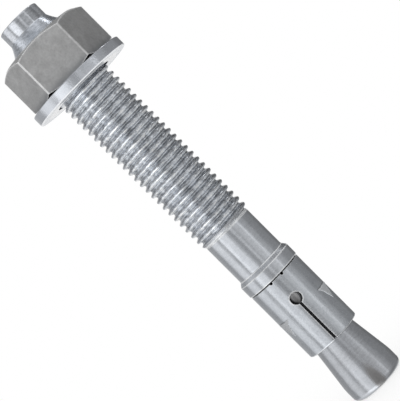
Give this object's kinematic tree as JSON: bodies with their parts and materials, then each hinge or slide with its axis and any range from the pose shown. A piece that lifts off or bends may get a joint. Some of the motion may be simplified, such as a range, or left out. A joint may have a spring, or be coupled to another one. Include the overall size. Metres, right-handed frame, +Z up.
{
  "type": "wedge anchor",
  "caption": "Wedge anchor bolt with a cone end, a slotted expansion clip, a flat washer and a hexagon nut on its thread.",
  "frame": {"origin": "centre of the flat end of the cone, on which the anchor stands", "axes": "+Z up the stud from the cone end to the driving tip; the clip's front slot faces -Y"},
  "size_m": [0.029, 0.029, 0.1272],
  "materials": {
    "stud_zinc": "bright zinc plate on forged and thread-rolled steel",
    "clip_zinc": "bright zinc plate on rolled sheet steel",
    "washer_zinc": "bright zinc plate on a punched washer",
    "nut_zinc": "satin zinc plate, duller than the stud"
  },
  "bodies": {
    "stud": {"stud": "stud_zinc"},
    "clip": {"expansion_clip": "clip_zinc"},
    "washer": {"washer": "washer_zinc"},
    "nut": {"hex_nut": "nut_zinc"}
  },
  "joints": [
    {"name": "nut_travel", "type": "slide", "parent": "stud", "child": "washer", "axis": [0, 0, 1], "range_m": [-0.052, 0.012]},
    {"name": "nut_turn", "type": "hinge", "parent": "washer", "child": "nut", "pos_m": [0, 0, 0.10697], "axis": [0, 0, 1], "range_deg": [-9360, 2160]},
    {"name": "clip_spin", "type": "hinge", "parent": "stud", "child": "clip", "pos_m": [0, 0, 0.02668], "axis": [0, 0, 1], "continuous": true}
  ],
  "couplings": [
    {"joint": "nut_travel", "follows": "nut_turn", "m_per_rad": 0.00031831}
  ]
}
